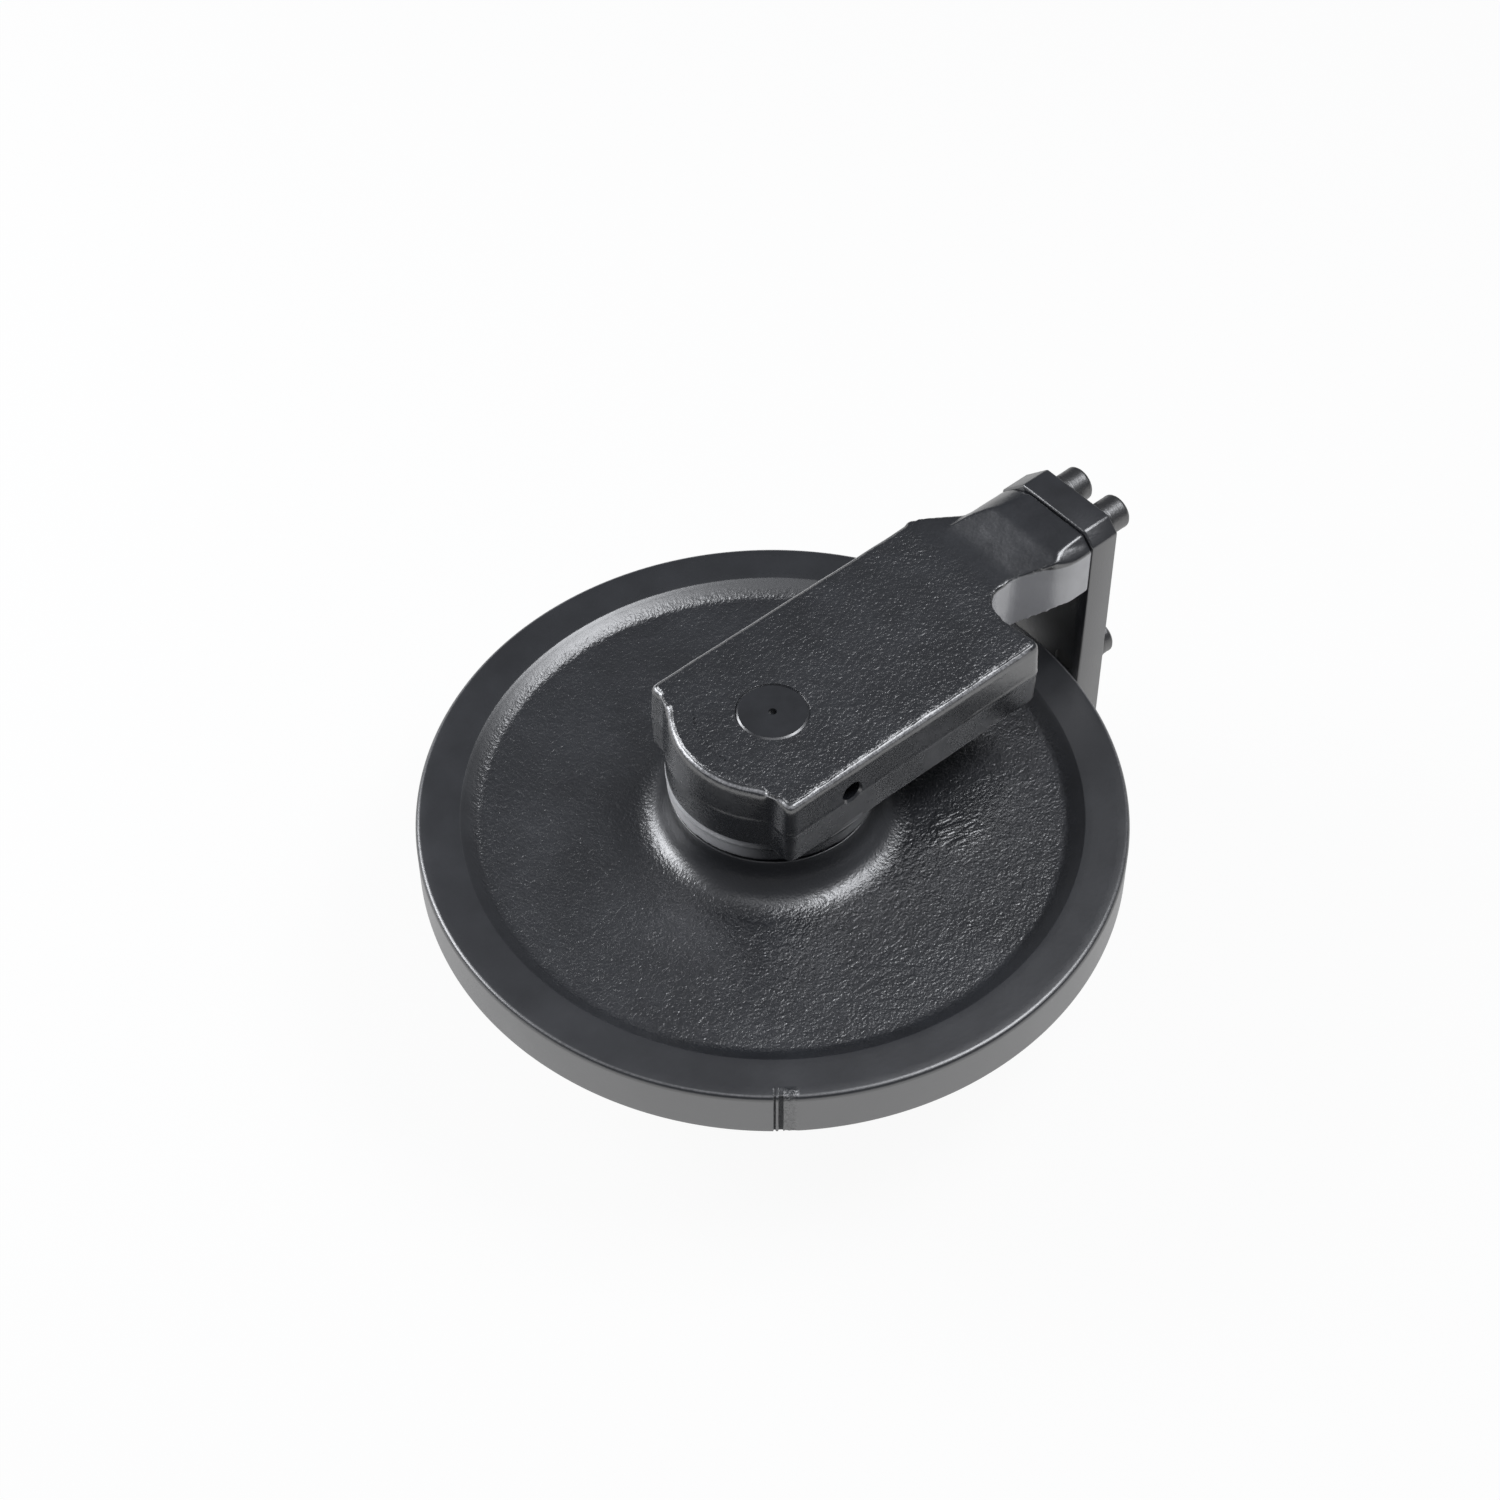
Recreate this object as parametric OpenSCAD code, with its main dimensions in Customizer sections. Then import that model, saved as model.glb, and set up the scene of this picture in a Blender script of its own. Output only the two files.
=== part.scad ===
// Front idler of a small excavator, lying on its lower bracket.
// Z is the wheel's axle, X points along the arms to the yoke plate, the origin is the wheel's centre.

/* [Wheel] */
// Outer diameter of the tread
wheel_d = 400; // [380:1:440]
// Width of the tread
rim_w = 32; // [26:1:44]
// Radial width of the flat ring beside the tread
ring_w = 25; // [16:1:34]
// Radial run of the slope from the ring down to the web
slope_run = 10; // [6:1:16]
// Thickness of the web
web_t = 18; // [12:1:22]
// Rounding of the tread's two edges
tread_r = 3; // [1:0.5:5]
// Diameter of the hub
hub_d = 116; // [104:1:130]
// Width of the hub
hub_w = 70; // [64:1:90]
// Fillet between hub and web
hub_fillet = 20; // [12:1:22]

/* [Axle and bearing] */
// Diameter of the fixed shaft
shaft_d = 40; // [36:1:44]
// Radial clearance of the bushes on the shaft
running_clear = 0.06; // [0.02:0.01:0.1]
// Radial clearance of parts that sit fast in one another
seat_clear = 0.02; // [0.01:0.01:0.05]
// Wall of the bronze bushes
bush_wall = 5; // [3:0.5:7]
// Thickness of the bush flange
bush_flange_t = 3; // [2:0.5:4]
// Radial reach of the bush flange beyond the bush
bush_flange_w = 5; // [2:0.5:6]
// Axial play between the bush flange and the bracket's collar
thrust_clear = 0.3; // [0.2:0.05:0.6]
// Half the width of the oil pocket between the bushes
oil_half_w = 5; // [3:0.5:8]
// Diameter of the oil gallery in the shaft
gallery_d = 8; // [6:0.5:10]

/* [Floating seals] */
// Radius of the seal pockets in hub and bracket
seal_pocket_r = 38; // [37:0.5:42]
// Depth of the seal pockets
seal_pocket_depth = 12; // [11:0.5:14]
// Inner radius of the metal seal rings
seal_bore_r = 28; // [27:0.5:29]
// Wall of the metal seal ring's sleeve
seal_wall = 3.4; // [2.5:0.1:4.5]
// Thickness of the metal seal ring's flange
seal_flange_t = 4.4; // [3:0.2:5.5]
// Gap left between parts of a seal
seal_clear = 0.15; // [0.1:0.05:0.3]

/* [Bracket] */
// Width of the bracket across its two guide faces
bracket_w = 120; // [112:1:140]
// Thickness of the bracket's body
bracket_t = 45; // [36:1:56]
// Height of the round boss under the body
boss_h = 11; // [6:1:18]
// Step from the body's side in to the boss
boss_step = 1; // [0.5:0.5:4]
// Running gap between hub and boss
run_gap = 2.5; // [1.5:0.5:4]
// Distance from the axle to the front of the two ears
ear_x = 40; // [34:1:44]
// Lean of the rear shoulder, forward towards the notch
shoulder_lean = 5; // [0:0.5:8]
// Rounding of the body's outer edges
edge_r = 4.5; // [2:0.5:6]
// Distance from the centre line to the arm's right side, where it meets the yoke plate
arm_right = 32; // [29:1:37]
// Distance from the centre line to the arm's left side
arm_left = 40; // [36:1:46]
// Length of the arm from the body's rear shoulder to the yoke plate
arm_len = 64; // [56:1:76]
// Rise of the arm's end above the body
arm_rise = 15.5; // [8:0.5:20]
// Lift of the arm's underside above the body's underside
arm_lift = 20.5; // [10:0.5:24]
// Distance from the arm's centre line to the notch's floor
notch_y = 14; // [10:1:20]
// Length of the notch's floor
notch_len = 24; // [22:1:28]

/* [Yoke plate] */
// Gap between the tread and the plate
plate_gap = 11; // [8:1:20]
// Thickness of the plate
plate_t = 20; // [14:1:26]
// Height that the plate stands proud of the arms
plate_proud = 1.7; // [0.5:0.1:4]
// Distance that the plate's left side stands proud of the arms
plate_side = 1.5; // [0.5:0.5:4]
// Cut of the plate's right corners
corner_cut = 8; // [4:0.5:10]
// Cut of the plate's left corners
left_cut = 16; // [12:0.5:20]
// Diameter of the blind socket that takes the recoil rod's spigot
rod_socket_d = 16; // [12:1:20]
// Depth of that socket
rod_socket_depth = 12; // [8:1:12]

/* [Screws] */
// Thread diameter of the yoke screws
screw_d = 14; // [12:1:16]
// Diameter of the screw heads
head_d = 21; // [18:0.5:24]
// Height of the screw heads
head_h = 14; // [10:0.5:16]
// Spacing of the two screws of a pair
screw_pitch = 30; // [28:1:32]
// Distance of the upper and lower pairs from the arm's top
screw_drop = 12; // [11:0.5:20]
// Depth of the screws in the arm
screw_grip = 17; // [12:1:18]
// Spacing of the middle pair, for the recoil rod's flange
rod_pitch = 38; // [30:1:40]
// Height of the low heads of the middle pair
rod_head_h = 8; // [6:0.5:14]
// Thickness of the spring washers
washer_t = 3; // [2:0.5:4]
// Thread diameter of the lock screws
lock_d = 12; // [10:1:14]
// Distance of the lock screw behind the axle
lock_x = 5; // [0:0.5:8]
// Depth of the lock screw's point in the shaft
lock_bite = 7; // [4:0.5:8]

/* [Hidden] */
$fn = 96;
eps = 0.5;

// Heights above the wheel's middle plane
hub_top = hub_w / 2;
boss_z = hub_top + run_gap;
body_z = boss_z + boss_h;
top_z = body_z + bracket_t;
arm_bottom_z = body_z + arm_lift;
arm_top_z = top_z + arm_rise;
plate_half_h = arm_top_z + plate_proud;
seal_face_z = hub_top + run_gap / 2;
seal_foot_clear = 1.5;
hub_pocket_z = hub_top - seal_pocket_depth;
boss_pocket_z = boss_z + seal_pocket_depth;

// Radii and distances from the axle
collar_clear = 2;
sleeve_r = seal_bore_r + seal_wall;
wheel_r = wheel_d / 2;
hub_r = hub_d / 2;
ring_r = wheel_r - ring_w;
root_r = ring_r - slope_run;
shaft_r = shaft_d / 2;
bush_r = shaft_r + bush_wall;
bush_flange_r = bush_r + bush_flange_w;
half_w = bracket_w / 2;
nose_r = half_w;
boss_r = half_w - boss_step;
collar_r = seal_bore_r - collar_clear;
oil_depth = 3;
plate_x = wheel_r + plate_gap;
shoulder_x = plate_x - arm_len;
plate_rear_x = plate_x + plate_t;
screw_z = arm_top_z - screw_drop;
screw_r = screw_d / 2;
head_r = head_d / 2;
washer_lip = 0.3;
washer_r = head_r + washer_lip;
screw_play = 0.4;
socket_r = 0.66 * head_r;
head_bevel = 1;
washer_split = 1.6;
rod_short = 1;
hole_spare = 2;

// Shaft details
shaft_chamfer = 0.5;
centre_r = 2.3;
centre_depth = 3;
oring_r = 1.8;
oring_up = 7;
oring_squeeze = 0.1;
oring_z = boss_pocket_z + oring_up;
groove_r = shaft_r - 2 * oring_r + oring_squeeze;
groove_w = 2.6 * oring_r;
plug_r = 8;
plug_l = 14;
plug_sink = 2;
plug_head_r = 11;
plug_head_t = 4;
plug_washer_t = 1.5;
plug_play = 1;
plug_short = 2;

// Lock screw details
lock_r = lock_d / 2;
lock_up = 4.5;
lock_neck = 3;
lock_wall = 1.8;
lock_z = (body_z + top_z) / 2 + lock_up;
lock_sink = 9;
lock_chamfer = 1;
point_r = lock_r - lock_wall;
socket_depth = 5;
lock_tip_y = sqrt(shaft_r * shaft_r - lock_x * lock_x) - lock_bite;

// Colours
black_paint = [0.07, 0.07, 0.075];
steel = [0.55, 0.56, 0.58];
bronze = [0.66, 0.46, 0.22];
rubber = [0.03, 0.03, 0.03];
dark_steel = [0.12, 0.12, 0.13];
copper = [0.72, 0.42, 0.26];

// Rounded outlines: each corner is [x, y, radius], in anticlockwise order
function unit(v) = v / norm(v);
function flat(c) = [c[0], c[1]];
function wrap(list, i) = list[(i + len(list)) % len(list)];
function to_prev(list, i) = unit(flat(wrap(list, i - 1)) - flat(list[i]));
function to_next(list, i) = unit(flat(wrap(list, i + 1)) - flat(list[i]));
function half_angle(list, i) = acos(to_prev(list, i) * to_next(list, i)) / 2;
function reach(list, i) = list[i][2] / tan(half_angle(list, i));
function turn_in(list, i) = flat(list[i]) + to_prev(list, i) * reach(list, i);
function turn_out(list, i) = flat(list[i]) + to_next(list, i) * reach(list, i);
function bisector(list, i) = unit(to_prev(list, i) + to_next(list, i));
function centre(list, i) = flat(list[i]) + bisector(list, i) * list[i][2] / sin(half_angle(list, i));
function is_convex(list, i) = cross(-to_prev(list, i), to_next(list, i)) > 0;

module rounded_outline(list) {
    difference() {
        union() {
            polygon([for (i = [0 : len(list) - 1]) each [turn_in(list, i), turn_out(list, i)]]);
            for (i = [0 : len(list) - 1])
                if (list[i][2] > 0 && is_convex(list, i))
                    translate(centre(list, i)) circle(list[i][2]);
        }
        for (i = [0 : len(list) - 1])
            if (list[i][2] > 0 && !is_convex(list, i))
                translate(centre(list, i)) circle(list[i][2]);
    }
}

// Parts below the wheel are mirror images of those above it
module mirrored() {
    mirror([0, 0, 1]) children();
}

// Wheel
break_r = 1.5;
root_fillet = 7;
half_profile = [
    [hub_r, hub_top, break_r], [hub_r, web_t / 2, hub_fillet], [root_r, web_t / 2, root_fillet],
    [ring_r, rim_w / 2, break_r], [wheel_r, rim_w / 2, tread_r]
];
wheel_profile = concat(
    [[0, -hub_top, 0]],
    [for (c = half_profile) [c[0], -c[1], c[2]]],
    [for (i = [len(half_profile) - 1 : -1 : 0]) half_profile[i]],
    [[0, hub_top, 0]]
);

module idler_wheel() {
    color(black_paint) difference() {
        rotate_extrude() rounded_outline(wheel_profile);
        cylinder(r = bush_r + seat_clear, h = hub_w + 2 * eps, center = true);
        cylinder(r = bush_r + oil_depth, h = 2 * oil_half_w, center = true);
        for (side = [0, 1]) mirror([0, 0, side]) {
            translate([0, 0, hub_pocket_z]) cylinder(r = seal_pocket_r, h = seal_pocket_depth + eps);
            translate([0, 0, hub_pocket_z - bush_flange_t])
                cylinder(r = bush_flange_r + seat_clear, h = bush_flange_t + eps);
        }
    }
}

// Bushes
module bush() {
    color(bronze) rotate_extrude() difference() {
        union() {
            translate([0, oil_half_w]) square([bush_r, hub_pocket_z - oil_half_w]);
            translate([0, hub_pocket_z - bush_flange_t]) square([bush_flange_r, bush_flange_t]);
        }
        translate([-eps, 0]) square([shaft_r + running_clear + eps, hub_top]);
    }
}

module bush_upper() {
    bush();
}

module bush_lower() {
    mirrored() bush();
}

// Shaft
module axle_shaft() {
    color(steel) difference() {
        union() {
            cylinder(r = shaft_r, h = 2 * (top_z - shaft_chamfer), center = true);
            for (side = [0, 1]) mirror([0, 0, side]) translate([0, 0, top_z - shaft_chamfer])
                cylinder(r1 = shaft_r, r2 = shaft_r - shaft_chamfer, h = shaft_chamfer);
        }
        for (side = [0, 1]) mirror([0, 0, side]) translate([0, 0, oring_z]) difference() {
            cylinder(r = shaft_r + eps, h = groove_w, center = true);
            cylinder(r = groove_r, h = groove_w + eps, center = true);
        }
        translate([0, 0, top_z - centre_depth]) cylinder(r = centre_r, h = centre_depth + eps);
        translate([0, 0, -top_z]) cylinder(d = gallery_d, h = top_z + gallery_d / 2);
        rotate([90, 0, 0]) cylinder(d = gallery_d, h = 2 * shaft_r + 2 * eps, center = true);
        translate([0, 0, -top_z - eps])
            cylinder(r = plug_head_r + plug_play, h = eps + plug_sink + plug_head_t + plug_washer_t);
        translate([0, 0, -top_z - eps])
            cylinder(r = plug_r + seat_clear, h = eps + plug_sink + plug_head_t + plug_washer_t + plug_l);
        lock_point_hole();
        mirrored() lock_point_hole();
    }
}

module lock_point_hole() {
    translate([lock_x, -lock_tip_y + seat_clear, lock_z]) rotate([90, 0, 0])
        cylinder(r = point_r + seat_clear, h = shaft_r);
}

// Bracket
nose_fillet = 8;
fillet_x = -ear_x - nose_fillet;
fillet_y = sqrt(pow(nose_r + nose_fillet, 2) - pow(fillet_x, 2));
ear_turn = asin(fillet_y / (nose_r + nose_fillet));
nose_touch = nose_r * [-cos(ear_turn), sin(ear_turn)];
corner_spare = 1;
corner_r = edge_r + corner_spare;
rear_lean = atan2(shoulder_lean, half_w - notch_y);
edge_facets = 12;
notch_r = 14;
notch_x = shoulder_x - shoulder_lean;
flare_x = notch_x + notch_len;
flare_run = 25;
flare_r = 30;
taper_back = 28;
taper_x = plate_x - taper_back;
taper_run = 28;
taper_r = 9;
plan = [
    [-ear_x, -half_w, corner_r], [shoulder_x, -half_w, corner_r], [notch_x, -notch_y, notch_r],
    [flare_x, -notch_y, notch_r], [flare_x + flare_run, -arm_right, flare_r], [plate_x, -arm_right, 0],
    [plate_x, arm_left, 0], [taper_x, arm_left, taper_r], [taper_x - taper_run, half_w, taper_r],
    [-ear_x, half_w, corner_r]
];

// Side view of the bracket: the underside steps up and the top sweeps up towards the plate
crest_back = 21;
crest_x = plate_x - crest_back;
crest_drop = 2;
crest_r = 12;
sweep_run = 27;
sweep_r = 30;
step_back = 6;
step_x = shoulder_x + step_back;
step_run = 36;
step_r = 20;
profile = [
    [-nose_r - eps, body_z, 0], [step_x, body_z, step_r], [step_x + step_run, arm_bottom_z, step_r],
    [plate_x, arm_bottom_z, 0], [plate_x, arm_top_z, 0], [crest_x, arm_top_z - crest_drop, crest_r],
    [crest_x - sweep_run, top_z, sweep_r], [-nose_r - eps, top_z, 0]
];

module bracket_plan() {
    rounded_outline(plan);
    circle(nose_r);
    for (side = [0, 1]) mirror([0, side]) difference() {
        polygon([[-ear_x, fillet_y], nose_touch, [-ear_x + eps, nose_touch[1]], [-ear_x + eps, fillet_y]]);
        translate([fillet_x, fillet_y]) circle(nose_fillet);
    }
}

// Section of the waste that rounding takes off an edge at the section's origin
module edge_waste() {
    difference() {
        translate([-edge_r, -edge_r]) square(edge_r + eps);
        translate([-edge_r, -edge_r]) circle(edge_r, $fn = edge_facets);
    }
}

module straight_waste(from, to) {
    along = unit(to - from);
    translate([from[0], from[1], top_z]) rotate(atan2(along[1], along[0]))
        rotate([90, 0, 90]) linear_extrude(norm(to - from)) mirror([1, 0]) edge_waste();
}

module turn_waste(middle, radius, first, sweep) {
    translate([middle[0], middle[1], top_z]) rotate(first) rotate_extrude(angle = sweep)
        translate([radius, 0]) edge_waste();
}

module body_edge_waste() {
    straight_waste(turn_out(plan, 0), turn_in(plan, 1));
    straight_waste(turn_out(plan, 1), turn_in(plan, 2));
    straight_waste(turn_out(plan, 8), turn_in(plan, 9));
    straight_waste(turn_out(plan, 9), [-ear_x, fillet_y]);
    straight_waste([-ear_x, -fillet_y], turn_in(plan, 0));
    turn_waste(centre(plan, 0), plan[0][2], 180, 90);
    turn_waste(centre(plan, 1), plan[1][2], 270, 90 + rear_lean);
    turn_waste(centre(plan, 9), plan[9][2], 90, 90);
    turn_waste([0, 0], nose_r, 180 - ear_turn, 2 * ear_turn);
}

module bracket() {
    color(black_paint) difference() {
        union() {
            intersection() {
                linear_extrude(plate_half_h) bracket_plan();
                rotate([90, 0, 0]) translate([0, 0, -bracket_w])
                    linear_extrude(2 * bracket_w) rounded_outline(profile);
            }
            translate([0, 0, boss_z]) cylinder(r = nose_r, h = boss_h + eps);
            translate([0, 0, hub_pocket_z + thrust_clear])
                cylinder(r = collar_r, h = boss_pocket_z - hub_pocket_z);
        }
        body_edge_waste();
        boss_turning();
        arm_rolls();
        cylinder(r = shaft_r + seat_clear, h = top_z + eps);
        translate([0, 0, top_z - shaft_chamfer])
            cylinder(r1 = shaft_r, r2 = shaft_r + shaft_chamfer + eps, h = shaft_chamfer + eps);
        translate([0, 0, boss_z - eps]) difference() {
            cylinder(r = seal_pocket_r, h = seal_pocket_depth + eps);
            cylinder(r = collar_r, h = seal_pocket_depth + 2 * eps);
        }
        lock_hole();
        arm_screw_holes();
    }
}

// The boss is turned down from the nose's radius
module boss_turning() {
    translate([0, 0, boss_z - eps]) difference() {
        cylinder(r = nose_r + eps, h = boss_h + eps);
        translate([0, 0, -eps]) cylinder(r = boss_r, h = boss_h + 3 * eps);
    }
}

// The arm's top rolls over to both sides, on the left almost down to the body's top
roll_over = 0.6;
right_roll_r = 24;
left_roll_r = 36;
left_floor = 1.2;

module arm_rolls() {
    translate([plate_x, -arm_right, arm_top_z]) arm_roll(corner_cut, right_roll_r, eps);
    translate([plate_x, arm_left, arm_top_z]) mirror([0, 1, 0])
        arm_roll(arm_rise - left_floor, left_roll_r, half_w - arm_left + eps);
}

module arm_roll(drop, radius, beside) {
    roll_len = plate_x - notch_x;
    down = radius - roll_over;
    inward = sqrt(pow(radius, 2) - pow(down - drop, 2));
    difference() {
        translate([-roll_len, -beside, -drop]) cube([roll_len + eps, beside + inward, drop + eps]);
        translate([-roll_len - eps, inward, -down]) rotate([0, 90, 0])
            cylinder(r = radius, h = roll_len + 3 * eps);
    }
}

module lock_hole() {
    translate([lock_x, 0, lock_z]) rotate([90, 0, 0]) {
        cylinder(r = lock_r + seat_clear, h = half_w + eps);
        translate([0, 0, half_w - lock_chamfer])
            cylinder(r1 = lock_r, r2 = lock_r + lock_chamfer + eps, h = lock_chamfer + eps);
    }
}

module arm_screw_holes() {
    for (side = [-1, 1]) translate([plate_x + eps, side * screw_pitch / 2, screw_z]) rotate([0, -90, 0])
        cylinder(r = screw_r + seat_clear, h = screw_grip + hole_spare + eps);
}

module bracket_upper() {
    bracket();
}

module bracket_lower() {
    mirrored() bracket();
}

// Lock screws
module lock_screw() {
    body_y = lock_tip_y + lock_bite + lock_neck;
    color(dark_steel) translate([lock_x, 0, lock_z]) rotate([90, 0, 0]) difference() {
        union() {
            translate([0, 0, body_y]) cylinder(r = lock_r, h = half_w - lock_sink - body_y);
            translate([0, 0, lock_tip_y]) cylinder(r = point_r, h = body_y - lock_tip_y + eps);
        }
        translate([0, 0, half_w - lock_sink - socket_depth])
            cylinder(r = lock_r / 2, h = socket_depth + eps, $fn = 6);
    }
}

module lock_screw_upper() {
    lock_screw();
}

module lock_screw_lower() {
    mirrored() lock_screw();
}

// Floating seals
module seal_ring() {
    foot = seal_pocket_depth - seal_foot_clear;
    color(steel) rotate_extrude() translate([seal_bore_r, 0]) {
        translate([0, -foot]) square([seal_wall, foot - seal_clear]);
        translate([0, -seal_flange_t]) square([seal_pocket_r - sleeve_r, seal_flange_t - seal_clear]);
    }
}

module seal_toric() {
    section_r = (seal_pocket_r - sleeve_r) / 2 - seal_clear;
    color(rubber) rotate_extrude()
        translate([(seal_pocket_r + sleeve_r) / 2, -seal_flange_t - section_r - seal_clear])
            circle(section_r);
}

module wheel_side() {
    translate([0, 0, seal_face_z]) children();
}

module bracket_side() {
    translate([0, 0, seal_face_z]) mirror([0, 0, 1]) children();
}

module seal_ring_wheel_upper() {
    wheel_side() seal_ring();
}

module seal_ring_wheel_lower() {
    mirrored() wheel_side() seal_ring();
}

module seal_ring_bracket_upper() {
    bracket_side() seal_ring();
}

module seal_ring_bracket_lower() {
    mirrored() bracket_side() seal_ring();
}

module seal_toric_wheel_upper() {
    wheel_side() seal_toric();
}

module seal_toric_wheel_lower() {
    mirrored() wheel_side() seal_toric();
}

module seal_toric_bracket_upper() {
    bracket_side() seal_toric();
}

module seal_toric_bracket_lower() {
    mirrored() bracket_side() seal_toric();
}

// O-rings on the shaft
module shaft_oring() {
    color(rubber) translate([0, 0, oring_z]) rotate_extrude()
        translate([shaft_r - oring_r + oring_squeeze - seat_clear, 0]) circle(oring_r - oring_squeeze);
}

module shaft_oring_upper() {
    shaft_oring();
}

module shaft_oring_lower() {
    mirrored() shaft_oring();
}

// Oil plug in the shaft's lower end
module oil_plug() {
    color(dark_steel) translate([0, 0, -top_z + plug_sink]) difference() {
        union() {
            cylinder(r = plug_head_r, h = plug_head_t);
            cylinder(r = plug_r, h = plug_head_t + plug_washer_t + plug_l - plug_short);
        }
        translate([0, 0, -eps]) cylinder(r = plug_r / 2, h = plug_head_t + eps, $fn = 6);
    }
}

module oil_plug_washer() {
    color(copper) translate([0, 0, -top_z + plug_sink + plug_head_t]) difference() {
        cylinder(r = plug_head_r, h = plug_washer_t);
        translate([0, 0, -eps]) cylinder(r = plug_r + seat_clear, h = plug_washer_t + 2 * eps);
    }
}

// Yoke plate
module yoke_plate() {
    left_y = arm_left + plate_side;
    upper = [
        [plate_half_h - corner_cut, -arm_right], [plate_half_h, -arm_right + corner_cut],
        [plate_half_h, left_y - left_cut], [plate_half_h - left_cut, left_y]
    ];
    outline = concat(upper, [for (i = [len(upper) - 1 : -1 : 0]) [-upper[i][0], upper[i][1]]]);
    color(black_paint) difference() {
        translate([plate_x, 0, 0]) rotate([0, 90, 0]) mirror([1, 0, 0])
            linear_extrude(plate_t) polygon(outline);
        for (level = [-screw_z, screw_z]) screw_row(level, screw_pitch) screw_bore(screw_r + screw_play);
        screw_row(0, rod_pitch) screw_bore(screw_r + seat_clear);
        translate([plate_rear_x - rod_socket_depth, 0, 0]) rotate([0, 90, 0])
            cylinder(d = rod_socket_d, h = rod_socket_depth + eps);
    }
}

module screw_row(level, pitch) {
    for (side = [-1, 1]) translate([plate_rear_x, side * pitch / 2, level]) children();
}

module screw_bore(radius) {
    translate([eps, 0, 0]) rotate([0, -90, 0]) cylinder(r = radius, h = plate_t + 2 * eps);
}

// Cap screws, drawn with the washer's face at the origin and the shank along minus X
module cap_screw(grip, height) {
    color(black_paint) translate([washer_t, 0, 0]) rotate([0, 90, 0]) difference() {
        union() {
            cylinder(r = head_r, h = height - head_bevel);
            translate([0, 0, height - head_bevel])
                cylinder(r1 = head_r, r2 = head_r - head_bevel, h = head_bevel);
            translate([0, 0, -washer_t - grip]) cylinder(r = screw_r, h = washer_t + grip + eps);
        }
        translate([0, 0, height / 2]) cylinder(r = socket_r, h = height, $fn = 6);
    }
}

module spring_washer() {
    color(black_paint) rotate([0, 90, 0]) difference() {
        cylinder(r = washer_r, h = washer_t);
        translate([0, 0, -eps]) cylinder(r = screw_r + screw_play, h = washer_t + 2 * eps);
        translate([0, -washer_split, -eps]) rotate([20, 0, 0])
            cube([washer_r + eps, washer_split, 2 * washer_t]);
    }
}

module yoke_screws_upper() {
    screw_row(screw_z, screw_pitch) cap_screw(plate_t + screw_grip, head_h);
}

module yoke_screws_lower() {
    screw_row(-screw_z, screw_pitch) cap_screw(plate_t + screw_grip, head_h);
}

module rod_screws() {
    screw_row(0, rod_pitch) cap_screw(plate_t - rod_short, rod_head_h);
}

module yoke_washers_upper() {
    screw_row(screw_z, screw_pitch) spring_washer();
}

module yoke_washers_lower() {
    screw_row(-screw_z, screw_pitch) spring_washer();
}

module rod_washers() {
    screw_row(0, rod_pitch) spring_washer();
}

idler_wheel();
bush_upper();
bush_lower();
axle_shaft();
bracket_upper();
bracket_lower();
lock_screw_upper();
lock_screw_lower();
seal_ring_wheel_upper();
seal_ring_wheel_lower();
seal_ring_bracket_upper();
seal_ring_bracket_lower();
seal_toric_wheel_upper();
seal_toric_wheel_lower();
seal_toric_bracket_upper();
seal_toric_bracket_lower();
shaft_oring_upper();
shaft_oring_lower();
oil_plug();
oil_plug_washer();
yoke_plate();
yoke_screws_upper();
yoke_screws_lower();
rod_screws();
yoke_washers_upper();
yoke_washers_lower();
rod_washers();
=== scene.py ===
import math

import bmesh
import bpy
import numpy as np
from mathutils import Matrix, Vector, noise


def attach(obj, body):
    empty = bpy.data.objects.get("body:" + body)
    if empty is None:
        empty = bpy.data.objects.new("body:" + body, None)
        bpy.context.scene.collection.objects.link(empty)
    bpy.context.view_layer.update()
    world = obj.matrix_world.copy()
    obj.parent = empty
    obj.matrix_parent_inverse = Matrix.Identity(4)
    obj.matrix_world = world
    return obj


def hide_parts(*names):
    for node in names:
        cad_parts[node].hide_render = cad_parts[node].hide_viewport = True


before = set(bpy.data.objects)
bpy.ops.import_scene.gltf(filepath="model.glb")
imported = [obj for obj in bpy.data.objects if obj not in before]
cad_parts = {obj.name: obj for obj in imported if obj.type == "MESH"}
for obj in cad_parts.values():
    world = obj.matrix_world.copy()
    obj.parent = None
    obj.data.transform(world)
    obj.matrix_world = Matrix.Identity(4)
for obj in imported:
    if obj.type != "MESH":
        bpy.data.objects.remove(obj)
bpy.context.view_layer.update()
mm = 0.001
weldGap = 0.002 * mm  # corners nearer than this become one
white = (1.0, 1.0, 1.0)
print("frame loaded:", len(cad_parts), "nodes")


def inMm(*values):
    return [value * mm for value in values]


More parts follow.
